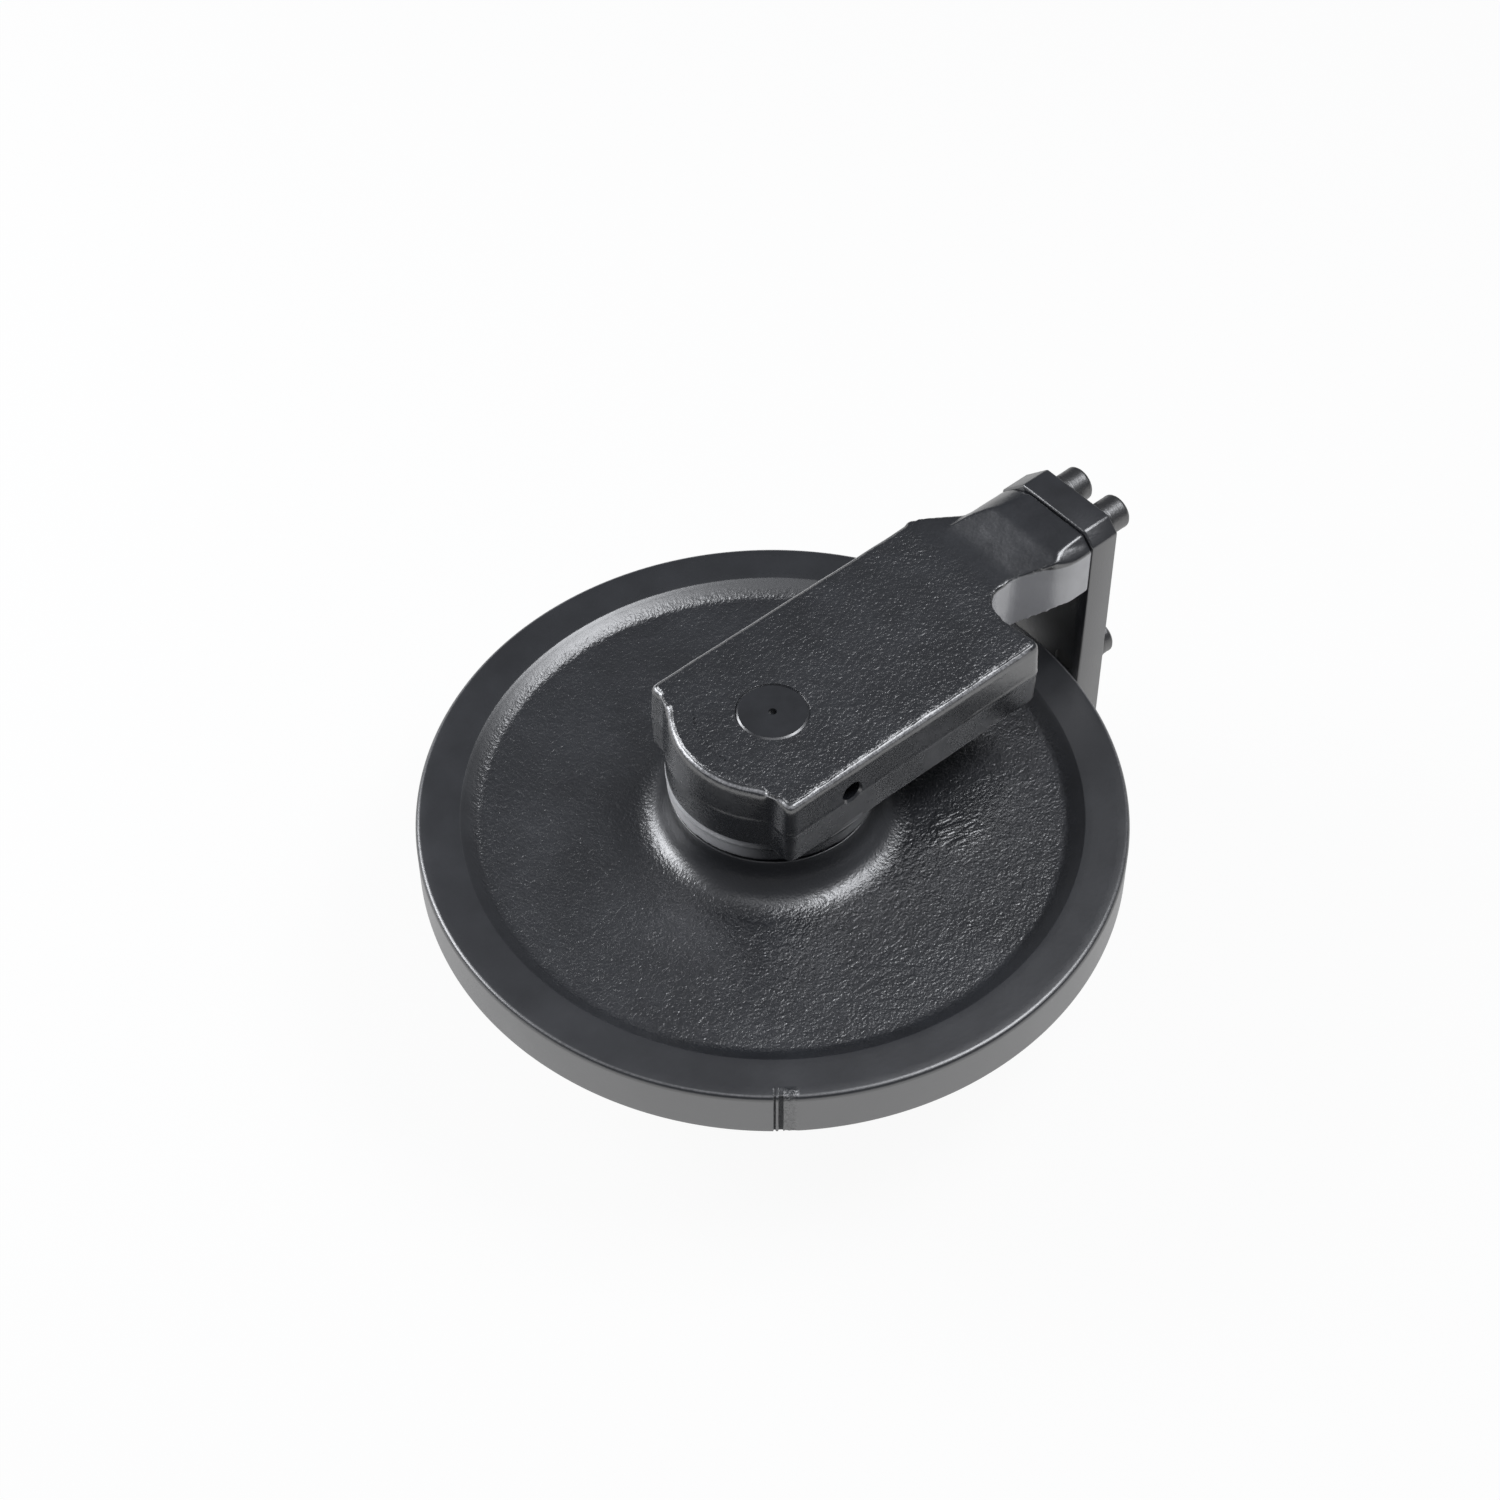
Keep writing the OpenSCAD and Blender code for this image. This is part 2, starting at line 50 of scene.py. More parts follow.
class Wire:  # a value on a socket, with sums written as Python
    def __init__(self, graph, socket):
        self.graph = graph
        self.socket = socket

    def calc(self, operation, *terms):
        return self.graph.node("ShaderNodeMath", {"operation": operation}, dict(enumerate(terms)))

    def __add__(self, other):
        return self.calc("ADD", self, other)

    def __radd__(self, other):
        return self.calc("ADD", other, self)

    def __sub__(self, other):
        return self.calc("SUBTRACT", self, other)

    def __rsub__(self, other):
        return self.calc("SUBTRACT", other, self)

    def __mul__(self, other):
        return self.calc("MULTIPLY", self, other)

    def __rmul__(self, other):
        return self.calc("MULTIPLY", other, self)

    def __truediv__(self, other):
        return self.calc("DIVIDE", self, other)

    def __rtruediv__(self, other):
        return self.calc("DIVIDE", other, self)

    def atMost(self, limit):
        return self.calc("MINIMUM", self, limit)

    def atLeast(self, limit):
        return self.calc("MAXIMUM", self, limit)

    def size(self):
        return self.calc("ABSOLUTE", self)

    def whole(self):
        return self.calc("FLOOR", self)

    def sine(self):
        return self.calc("SINE", self)

    def cosine(self):
        return self.calc("COSINE", self)

    def step(self, low, high):  # smooth step from 0 at low to 1 at high
        settings = {"interpolation_type": "SMOOTHSTEP"}
        return self.graph.node("ShaderNodeMapRange", settings, {"Value": self, 1: low, 2: high})

    def band(self, start, full, ebb, end):  # 1 from full to ebb, 0 before start and after end
        return self.step(start, full) * (1 - self.step(ebb, end))


class Graph:  # a node tree that is filled by one general method
    def __init__(self, tree):
        self.tree = tree
        tree.nodes.clear()

    def node(self, kind, settings=None, values=None, out=0):
        made = self.tree.nodes.new(kind)
        for name, value in (settings or {}).items():
            setattr(made, name, value)
        for key, value in (values or {}).items():
            for source in value if isinstance(value, list) else [value]:
                if isinstance(source, Wire):
                    self.tree.links.new(source.socket, made.inputs[key])
                else:
                    made.inputs[key].default_value = source
        return Wire(self, made.outputs[out]) if len(made.outputs) else None

    def objectPlace(self):
        return self.node("ShaderNodeTexCoord", None, None, "Object")

    def join(self, x, y, z):
        return self.node("ShaderNodeCombineXYZ", None, {0: x, 1: y, 2: z})

    def split(self, vector):
        return [self.node("ShaderNodeSeparateXYZ", None, {0: vector}, axis) for axis in range(3)]

    def vectorCalc(self, operation, first, second, out=0):
        return self.node("ShaderNodeVectorMath", {"operation": operation}, {0: first, 1: second}, out)

    def distance(self, place, point):
        return self.vectorCalc("DISTANCE", place, point, "Value")

    def radius(self, place):  # distance from the axle
        return self.distance(self.vectorCalc("MULTIPLY", place, (1.0, 1.0, 0.0)), (0.0, 0.0, 0.0))

    def grain(self, place, size, detail=2.0, rough=0.5):
        values = {"Vector": place, "Scale": 1.0 / size, "Detail": detail, "Roughness": rough}
        return self.node("ShaderNodeTexNoise", None, values)

    def mix(self, share, first, second):  # a colour is a wire or three numbers
        first, second = (end if isinstance(end, Wire) else (*end, 1.0) for end in (first, second))
        values = {"Factor": share, 6: first, 7: second}
        return self.node("ShaderNodeMix", {"data_type": "RGBA"}, values, 2)

    def bump(self, height, depth, strength=1.0):
        values = {"Strength": strength, "Distance": depth, "Height": height}
        return self.node("ShaderNodeBump", None, values)


def newMaterial(name):
    material = bpy.data.materials.new(name)
    material.use_nodes = True
    return material, Graph(material.node_tree)


def finishMaterial(graph, values, ior=1.5):
    shader = graph.node("ShaderNodeBsdfPrincipled", None, {"IOR": ior, **values})
    graph.node("ShaderNodeOutputMaterial", None, {"Surface": shader})


# Paints. Lengths are in metres, colours are linear.
paintIor = 2.3  # a waxed paint, far glossier than plain lacquer
wheelMarks = {"patchAt": (0.0694, -0.0775, 0.009), "jointAngle": -130.2}
skinLook = {  # what the painted castings share
    "dark": (0.0065, 0.0075, 0.0105),
    "light": (0.0135, 0.0155, 0.0205),
    "tintRange": (0.3, 0.72),
    "tintCloud": 0.7,  # the rest of the tint follows the fine grain
    "grain": 1.6 * mm,
    "pebble": 3.6 * mm,
    "fineShare": 0.55,  # the rest of the relief is pebble
    "chipAndGlintGain": 1.6,
    "chipAndGlintFloor": 0.15,
}
castLook = {
    **skinLook,
    "cloud": 38 * mm,
    "depth": 1.0 * mm,
    "top": 93.5 * mm,
    "topBand": inMm(-0.5, -0.1),  # measured from the top, as the next three
    "nearTop": inMm(-7.0, -2.0),
    "edgeBand": inMm(-2.2, -1.5, -1.0, -0.5),
    "neckTop": inMm(-2.6, -1.0),
    "edgeEnd": inMm(132, 140),
    # painted highlight: a light band along the rounded top edges, broken up like chips
    "edgeHighlightColour": (0.48, 0.48, 0.49),
    "sideGrain": 0.09,
    "shoulderGrain": 0.14,
    "arm": inMm(143, 165),
    "armSmooth": 0.88,
    "neckStart": inMm(138, 141),
    "neckSide": inMm(-46, -38, -13, -11),
    "neckRise": {"start": 160 * mm, "slope": 0.425, "most": 8.5 * mm},
    # painted light: the neck's near side is painted light grey, standing in for the light it catches
    "neckLightColour": (0.5, 0.5, 0.512),
    "neckLightFloor": 0.55,
    "neckLightCloud": 0.9,
    "bossTop": inMm(51.3, 51.9),
    "bossRadius": inMm(60.5, 61.0),
    "bossLightWay": (0.76, -0.65),  # painted highlight: light bare metal is painted on the lit side against this way, and a fainter painted glint a little along it
    "bossLitSide": inMm(0, 34),
    "bossPaintedGlint": inMm(30, 52),
    "paintedGlintShare": 0.25,
    # colour of the painted highlight on the boss
    "bossHighlightColour": (0.8, 0.8, 0.81),
    "bossShine": 0.45,
    "rough": 0.28,
    "roughBy": {"cloud": 0.16, "fine": 0.1, "bareHighlight": 0.15, "neckLitSide": 0.1, "top": 0.04},
}
wheelLook = {
    **skinLook,
    **wheelMarks,
    "cloud": 42 * mm,
    "depth": 0.86 * mm,
    "webStart": inMm(62, 76),
    "webEnd": inMm(164, 173),
    "hubGrain": 0.2,
    "rimStart": inMm(192, 196),
    # painted highlight: a thin light line high on the rounded rim edge
    "rimEdge": inMm(15.2, 15.45, 15.8, 15.93),
    "edgeHighlightColour": (0.16, 0.16, 0.165),
    "treadStart": inMm(198.6, 199.4),
    "treadEnd": inMm(12.4, 13.4),  # the rounded edges stay dark
    "tread": (0.075, 0.075, 0.078),
    "brush": 0.5 * mm,
    "brushDepth": 0.02,
    "skin": 2.4 * mm,
    "skinDepth": 0.05,
    "patch": inMm(10.45, 19),
    "patchWander": 14 * mm,
    "patchGrain": 1.1,
    "wrinkle": 2.6 * mm,
    "wrinkleWay": (0.967, -0.254),
    "wrinkleStretch": 0.32,
    "jointReach": inMm(150, 180),
    "groove": inMm(0.6, 1.1, 2.9, 3.6),
    "grooveGrain": 1.6,
    "slitAt": -1.25 * mm,
    "slit": inMm(0.3, 0.8),
    "weld": inMm(3, 4, 8, 12),
    "weldGrain": 1.3,
    "castRough": 0.33,
    "turnedRough": 0.36,
    "roughBy": {"cloud": 0.14, "fine": 0.1, "groove": 0.5},
}
plateLook = {
    "dark": (0.007, 0.0078, 0.0105),
    "light": (0.0135, 0.015, 0.0195),
    "tintRange": (0.3, 0.7),
    "grain": 1.4 * mm,
    "cloud": 24 * mm,
    "depth": 0.12 * mm,
    "rough": 0.34,
    "roughSpread": 0.15,
}
axleLook = {**plateLook, "rough": 0.3, "depth": 0.03 * mm}
screwLook = {**plateLook, "rough": 0.4, "dark": (0.005, 0.005, 0.006), "light": (0.01, 0.01, 0.011)}
rubberLook = {**plateLook, "rough": 0.6, "grain": 0.8 * mm}
metalLook = {"tintRange": (0.3, 0.7), "depth": 0.05 * mm, "strength": 0.5, "roughSpread": 0.2}
metalKinds = {
    "blackSteel": {"dark": (0.03, 0.03, 0.033), "light": (0.07, 0.07, 0.075), "rough": 0.4, "grain": 2 * mm},
    "sealIron": {"dark": (0.3, 0.3, 0.31), "light": (0.42, 0.42, 0.44), "rough": 0.3, "grain": 1.5 * mm},
    "bushBronze": {"dark": (0.42, 0.25, 0.09), "light": (0.55, 0.35, 0.14), "rough": 0.35, "grain": 2 * mm},
    "copperFoil": {"dark": (0.5, 0.24, 0.12), "light": (0.62, 0.32, 0.18), "rough": 0.35, "grain": 2 * mm},
}


def castSkin(graph, place, look):  # grain, relief and tint of a painted casting, and the chip mask that breaks up its painted edge highlights
    fine = graph.grain(place, look["grain"], rough=0.55)
    pebble = graph.grain(place, look["pebble"], detail=1.0)
    cloud = graph.grain(place, look["cloud"], detail=3.0, rough=0.6)
    relief = fine * look["fineShare"] + pebble * (1 - look["fineShare"])
    tint = cloud * look["tintCloud"] + fine * (1 - look["tintCloud"])
    paint = graph.mix(tint.step(*look["tintRange"]), look["dark"], look["light"])
    chipsAndGlints = (fine * look["chipAndGlintGain"] - look["chipAndGlintFloor"]).atMost(1.0).atLeast(0.0)
    return fine, pebble, cloud, relief, paint, chipsAndGlints


def castPaint(name, look):
    material, graph = newMaterial(name)
    place = graph.objectPlace()
    x, y, z = graph.split(place)
    height = z.size()
    above = height - look["top"]
    fine, _, cloud, relief, paint, chipsAndGlints = castSkin(graph, place, look)
    onBoss = (1 - height.step(*look["bossTop"])) * (1 - graph.radius(place).step(*look["bossRadius"]))
    onTop = above.step(*look["topBand"])
    offArm = 1 - x.step(*look["arm"])
    sides = look["sideGrain"] + above.step(*look["nearTop"]) * offArm * look["shoulderGrain"]
    tops = offArm * look["armSmooth"] + (1 - look["armSmooth"])
    share = onTop * tops + (1 - onTop) * sides
    bump = graph.bump(relief * (1 - onBoss) * share, look["depth"])

    # painted light: the neck's near side is painted light to stand in for the light it catches, and the top
    # edges get a painted highlight broken up like chips
    rise = look["neckRise"]
    lift = ((x - rise["start"]) * rise["slope"]).atLeast(0.0).atMost(rise["most"])
    neckLitSide = x.step(*look["neckStart"]) * y.band(*look["neckSide"])
    neckLitSide = neckLitSide * (1 - (above - lift).step(*look["neckTop"]))
    paintedNeckLight = (neckLitSide * (look["neckLightFloor"] + cloud * look["neckLightCloud"])).atMost(1.0)
    # painted highlight along the top edges, broken up like chips
    edge = above.band(*look["edgeBand"]) * (1 - x.step(*look["edgeEnd"])) * chipsAndGlints
    paint = graph.mix(edge, graph.mix(paintedNeckLight, paint, look["neckLightColour"]), look["edgeHighlightColour"])

    # painted highlight: the boss is painted as light bare metal on its lit side, with a fainter painted
    # glint further along
    along = x * look["bossLightWay"][0] + y * look["bossLightWay"][1]
    bareHighlight = (along * -1.0).step(*look["bossLitSide"]) + along.step(*look["bossPaintedGlint"]) * look["paintedGlintShare"]
    bareHighlight = bareHighlight * onBoss
    colour = graph.mix(bareHighlight, paint, look["bossHighlightColour"])
    by = look["roughBy"]
    rough = look["rough"] + (cloud - 0.5) * by["cloud"] + (fine - 0.5) * by["fine"]
    rough = rough + bareHighlight * by["bareHighlight"] + neckLitSide * by["neckLitSide"] + onTop * by["top"]
    shine = bareHighlight * look["bossShine"]
    values = {"Base Color": colour, "Roughness": rough, "Metallic": shine, "Normal": bump}
    finishMaterial(graph, values, paintIor)
    return material


def jointWays(x, y, cosine, sine):  # distance along the tread from the joint, and out to it
    return y * cosine - x * sine, x * cosine + y * sine


def wheelPaint(name, look):
    material, graph = newMaterial(name)
    place = graph.objectPlace()
    x, y, z = graph.split(place)
    radius = graph.radius(place)
    level = z.size()
    fine, pebble, cloud, relief, paint, chipsAndGlints = castSkin(graph, place, look)
    onWeb = radius.step(*look["webStart"]) * (1 - look["hubGrain"]) + look["hubGrain"]
    onWeb = onWeb * (1 - radius.step(*look["webEnd"]))
    onRim = radius.step(*look["rimStart"])
    onTread = radius.step(*look["treadStart"]) * (1 - level.step(*look["treadEnd"]))

    # turned faces are brushed, and the patch beside the hub is wrinkled
    brush = graph.grain(graph.join(radius, z, 0.0), look["brush"], detail=1.0)
    skin = graph.grain(place, look["skin"], detail=1.0)
    turned = brush * look["brushDepth"] + skin * look["skinDepth"]
    cosine, sine = look["wrinkleWay"]
    along = (x * cosine + y * sine) * look["wrinkleStretch"]
    across = y * cosine - x * sine
    wrinkle = graph.grain(graph.join(along, across, z), look["wrinkle"], detail=1.0)
    spot = graph.distance(place, look["patchAt"]) + (pebble - 0.5) * look["patchWander"]
    patch = 1 - spot.step(*look["patch"])

    # the joint across the tread: a slit, a groove and a weld
    turn = math.radians(look["jointAngle"])
    ahead, outward = jointWays(x, y, math.cos(turn), math.sin(turn))
    atJoint = onRim * outward.step(*look["jointReach"])
    slit = 1 - (ahead - look["slitAt"]).size().step(*look["slit"])
    groove = atJoint * (ahead.band(*look["groove"]) + slit)
    weld = atJoint * ahead.band(*look["weld"])
    relief = (relief + wrinkle * patch * look["patchGrain"]) * onWeb + turned * (1 - onWeb)
    relief = relief + fine * (groove * look["grooveGrain"] + weld * look["weldGrain"])
    colour = graph.mix(onTread * (1 - groove), paint, look["tread"])
    # painted highlight: the rim edge is lightened in a thin band, broken up like chips
    colour = graph.mix(onRim * level.band(*look["rimEdge"]) * chipsAndGlints, colour, look["edgeHighlightColour"])
    by = look["roughBy"]
    rough = onWeb * (look["castRough"] - look["turnedRough"]) + look["turnedRough"]
    rough = rough + (cloud - 0.5) * by["cloud"] + (fine - 0.5) * by["fine"] * onWeb + groove * by["groove"]
    bump = graph.bump(relief, look["depth"])
    finishMaterial(graph, {"Base Color": colour, "Roughness": rough, "Normal": bump}, paintIor)
    return material


def smoothPaint(name, look):
    material, graph = newMaterial(name)
    place = graph.objectPlace()
    skin = graph.grain(place, look["grain"])
    cloud = graph.grain(place, look["cloud"], detail=3.0, rough=0.6)
    colour = graph.mix(cloud.step(*look["tintRange"]), look["dark"], look["light"])
    rough = look["rough"] + (cloud - 0.5) * look["roughSpread"]
    bump = graph.bump(skin, look["depth"])
    finishMaterial(graph, {"Base Color": colour, "Roughness": rough, "Normal": bump}, paintIor)
    return material


def bareMetal(name, look):
    material, graph = newMaterial(name)
    streak = graph.grain(graph.objectPlace(), look["grain"], detail=3.0, rough=0.6)
    colour = graph.mix(streak.step(*look["tintRange"]), look["dark"], look["light"])
    rough = look["rough"] + (streak - 0.5) * look["roughSpread"]
    bump = graph.bump(streak, look["depth"], look["strength"])
    finishMaterial(graph, {"Base Color": colour, "Roughness": rough, "Metallic": 1.0, "Normal": bump})
    return material


bracketPaint = castPaint("bracketPaint", castLook)
idlerPaint = wheelPaint("idlerPaint", wheelLook)
yokePaint = smoothPaint("yokePaint", plateLook)
axlePaint = smoothPaint("axlePaint", axleLook)
screwPaint = smoothPaint("screwPaint", screwLook)
sealRubber = smoothPaint("sealRubber", rubberLook)
metals = {name: bareMetal(name, {**metalLook, **kind}) for name, kind in metalKinds.items()}
print("paints and metals made")


# Carried-over nodes take their finish here
nodeFinish = {
    "lock_screw": metals["blackSteel"],
    "oil_plug_washer": metals["copperFoil"],
    "oil_plug": metals["blackSteel"],
    "seal_ring": metals["sealIron"],
    "seal_toric": sealRubber,
    "shaft_oring": sealRubber,
    "bush": metals["bushBronze"],
    "yoke_washers": screwPaint,
    "rod_washers": screwPaint,
}


def paintMesh(mesh, material):
    mesh.materials.clear()
    mesh.materials.append(material)


for nodeName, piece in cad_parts.items():
    for start, material in nodeFinish.items():
        if nodeName.startswith(start):
            paintMesh(piece.data, material)
            break


# Geometry Nodes: a group is filled by the same general method
def newGroup(name, numbers):
    group = bpy.data.node_groups.new(name, "GeometryNodeTree")
    group.interface.new_socket("Geometry", in_out="INPUT", socket_type="NodeSocketGeometry")
    for label, kind in {**numbers, "Material": "NodeSocketMaterial"}.items():
        group.interface.new_socket(label, in_out="INPUT", socket_type=kind)
    group.interface.new_socket("Geometry", in_out="OUTPUT", socket_type="NodeSocketGeometry")
    graph = Graph(group)
    entry = group.nodes.new("NodeGroupInput")
    given = {socket.name: Wire(graph, socket) for socket in entry.outputs if socket.name}
    return group, graph, given


def closeGroup(graph, geometry, material):
    geometry = graph.node("GeometryNodeRealizeInstances", None, {0: geometry})
    geometry = graph.node("GeometryNodeSetMaterial", None, {"Geometry": geometry, "Material": material})
    graph.node("NodeGroupOutput", None, {0: geometry})


def runGroup(name, mesh, group, values):
    maker = bpy.data.objects.new(name + "Maker", mesh)
    bpy.context.scene.collection.objects.link(maker)
    modifier = maker.modifiers.new("shape", "NODES")
    modifier.node_group = group
    for item in group.interface.items_tree:
        if item.in_out == "INPUT" and item.name in values:
            modifier[item.identifier] = values[item.name]
    depsgraph = bpy.context.evaluated_depsgraph_get()
    made = bpy.data.meshes.new_from_object(maker.evaluated_get(depsgraph))
    bpy.data.objects.remove(maker)
    made.name = name
    return made


def showPiece(name, mesh, body, slot, *nodes):
    piece = bpy.data.objects.new(name, mesh)
    bpy.context.scene.collection.objects.link(piece)
    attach(piece, body)
    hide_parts(*nodes)
    return piece


def pointMesh(name, points):
    mesh = bpy.data.meshes.new(name)
    mesh.from_pydata([tuple(point) for point in points], [], [])
    return mesh


def shadeBySharpness(mesh, degrees):
    mesh.polygons.foreach_set("use_smooth", [True] * len(mesh.polygons))
    mesh.set_sharp_from_angle(angle=math.radians(degrees))


def cornerArc(before, corner, after, radius, steps):  # points of a rounded corner
    a = (before - corner).normalized()
    b = (after - corner).normalized()
    half = math.acos(max(-1.0, min(1.0, a.dot(b)))) / 2
    reach = radius / math.tan(half)
    middle = corner + (a + b).normalized() * radius / math.sin(half)
    first = corner + a * reach - middle
    turn = math.pi - 2 * half
    sign = 1.0 if first.x * (corner.y - middle.y) - first.y * (corner.x - middle.x) > 0 else -1.0
    arc = []
    for i in range(steps + 1):
        angle = sign * turn * i / steps
        c, s = math.cos(angle), math.sin(angle)
        arc.append(middle + Vector((c * first.x - s * first.y, s * first.x + c * first.y)))
    return arc


def roundedLoop(corners):  # corners are (x, y, radius, steps, spacing to the next corner), in mm
    points = [Vector(corner[:2]) for corner in corners]
    loop = []
    for i, (_, _, radius, steps, spacing) in enumerate(corners):
        arc = [points[i]]
        if radius > 0:
            arc = cornerArc(points[i - 1], points[i], points[(i + 1) % len(points)], radius, steps)
        loop.append((arc, spacing))
    outline = []
    for i, (arc, spacing) in enumerate(loop):
        outline.extend(arc)
        target = loop[(i + 1) % len(loop)][0][0]
        cuts = max(1, round((target - arc[-1]).length / spacing))
        outline.extend(arc[-1].lerp(target, k / cuts) for k in range(1, cuts))
    return outline


# Wheel: one profile turned about the axle
wheelShape = {  # in mm, except the inputs and the skin
    "treadRadius": 200.0, "ringRadius": 175.0, "rootRadius": 165.0, "hubRadius": 58.0,
    "halfTread": 16.0, "halfWeb": 9.0, "halfHub": 35.0, "hubFillet": 20.0, "rootFillet": 7.0,
    "edgeBreak": 1.5, "hubBreak": 0.6, "treadEdge": 3.0, "bore": 25.02,
    "pocket": 38.0, "pocketDepth": 12.0, "flange": 30.02, "flangeDepth": 3.0,
    "oilRadius": 28.0, "oilHalf": 5.0, "sharp": 38,
    "lowerSpacings": (8.0, 16.0, 8.0, 8.0, 8.0, 6.0, 6.0, 3.0, 2.4, 2.4, 4.0, 1.3),
    "inputs": {
        "Segments": 448, "Joint Angle": math.radians(wheelMarks["jointAngle"]), "Crowding": 0.9,
        "Lump Depth": 0.55 * mm, "Patch Depth": 0.9 * mm, "Joint Depth": 1.6 * mm,
    },
    "skin": {
        "merge": 0.004 * mm, "web": inMm(66, 84, 158, 166), "lump": 11 * mm, "lumpMiddle": 0.5,
        "patchAt": wheelMarks["patchAt"], "patch": inMm(6, 18), "patchGrain": 6 * mm, "patchMiddle": 0.42,
        "tread": inMm(197.5, 199), "jointReach": inMm(180, 190), "groove": inMm(0.6, 1.1, 2.8, 3.5),
        "slitAt": -1.25 * mm, "slit": inMm(0.3, 0.75), "slitDepth": 0.7,
        "weld": inMm(3.2, 4.4, 8, 12), "weldGrain": 2.6 * mm, "weldMiddle": 0.25, "weldDepth": 0.9,
    },
}


def wheelProfile(s):
    floor = s["halfHub"] - s["pocketDepth"]
    seat = floor - s["flangeDepth"]
    upper = [  # from the tread to the bore: radius, height, rounding, steps, spacing
        (s["treadRadius"], s["halfTread"], s["treadEdge"], 5, 4.0),
        (s["ringRadius"], s["halfTread"], s["edgeBreak"], 3, 2.2),
        (s["rootRadius"], s["halfWeb"], s["rootFillet"], 6, 1.55),
        (s["hubRadius"], s["halfWeb"], s["hubFillet"], 16, 3.0),
        (s["hubRadius"], s["halfHub"], s["hubBreak"], 3, 6.0),
        (s["pocket"], s["halfHub"], 0, 0, 6.0),
        (s["pocket"], floor, 0, 0, 8.0),
        (s["flange"], floor, 0, 0, 8.0),
        (s["flange"], seat, 0, 0, 8.0),
        (s["bore"], seat, 0, 0, 16.0),
        (s["bore"], s["oilHalf"], 0, 0, 8.0),
        (s["oilRadius"], s["oilHalf"], 0, 0, 12.0),
    ]
    lower = [(r, -z, radius, steps, spacing)
             for (r, z, radius, steps, _), spacing in zip(reversed(upper), s["lowerSpacings"])]
    return [Vector((p.x * mm, 0.0, p.y * mm)) for p in roundedLoop(upper + lower)]


def turnedGroup(s):
    skin = s["skin"]
    kinds = {label: "NodeSocketFloat" for label in s["inputs"]}
    group, graph, given = newGroup("turnedWheel", {**kinds, "Segments": "NodeSocketInt"})
    profile = given["Geometry"]
    rows = graph.node("GeometryNodeAttributeDomainSize", {"component": "MESH"}, {0: profile})
    across = given["Segments"] + 1.0
    along = rows + 1.0
    counts = {"Size X": 1.0, "Size Y": 1.0, "Vertices X": across, "Vertices Y": along}
    grid = graph.node("GeometryNodeMeshGrid", None, counts)
    index = graph.node("GeometryNodeInputIndex")
    column = ((index + 0.5) / along).whole()  # the half keeps the rounding safe
    row = index - column * along
    wrapped = row.calc("MODULO", row + 0.25, rows).whole()
    position = graph.node("GeometryNodeInputPosition")
    sample = {0: profile, "Value": position, "Index": wrapped}
    point = graph.node("GeometryNodeSampleIndex", {"data_type": "FLOAT_VECTOR"}, sample)
    radius, _, height = graph.split(point)
    turn = column / given["Segments"] * (2 * math.pi)
    angle = turn - turn.sine() * given["Crowding"] + given["Joint Angle"]  # rows crowd at the joint
    placed = graph.join(angle.cosine() * radius, angle.sine() * radius, height)
    wheel = graph.node("GeometryNodeSetPosition", None, {"Geometry": grid, "Position": placed})
    merge = {"Geometry": wheel, "Distance": skin["merge"]}
    wheel = graph.node("GeometryNodeMergeByDistance", None, merge)

    # cast skin on the web, a rough patch beside the hub, and the joint across the tread
    x, y, _ = graph.split(position)
    away = graph.radius(position)
    lumps = (graph.grain(position, skin["lump"]) - skin["lumpMiddle"]) * away.band(*skin["web"])
    patch = 1 - graph.distance(position, skin["patchAt"]).step(*skin["patch"])
    patch = patch * (graph.grain(position, skin["patchGrain"], rough=0.6) - skin["patchMiddle"])
    ahead, outward = jointWays(x, y, given["Joint Angle"].cosine(), given["Joint Angle"].sine())
    atJoint = away.step(*skin["tread"]) * outward.step(*skin["jointReach"])
    slit = 1 - (ahead - skin["slitAt"]).size().step(*skin["slit"])
    weld = graph.grain(position, skin["weldGrain"], rough=0.6) - skin["weldMiddle"]
    weld = weld * ahead.band(*skin["weld"])
    joint = slit * skin["slitDepth"] + ahead.band(*skin["groove"]) + weld * skin["weldDepth"]
    lift = lumps * given["Lump Depth"] + patch * given["Patch Depth"]
    lift = lift - atJoint * joint * given["Joint Depth"]
    normal = graph.node("GeometryNodeInputNormal")
    scale = {0: normal, "Scale": lift}
    offset = graph.node("ShaderNodeVectorMath", {"operation": "SCALE"}, scale)
    wheel = graph.node("GeometryNodeSetPosition", None, {"Geometry": wheel, "Offset": offset})
    closeGroup(graph, wheel, given["Material"])
    return group


profileMesh = pointMesh("wheelProfile", wheelProfile(wheelShape))
wheelValues = {**wheelShape["inputs"], "Material": idlerPaint}
wheelMesh = runGroup("idlerWheel", profileMesh, turnedGroup(wheelShape), wheelValues)
shadeBySharpness(wheelMesh, wheelShape["sharp"])
showPiece("idlerWheel", wheelMesh, "wheel", "wheel_paint", "idler_wheel")
print("wheel turned:", len(wheelMesh.polygons), "faces")


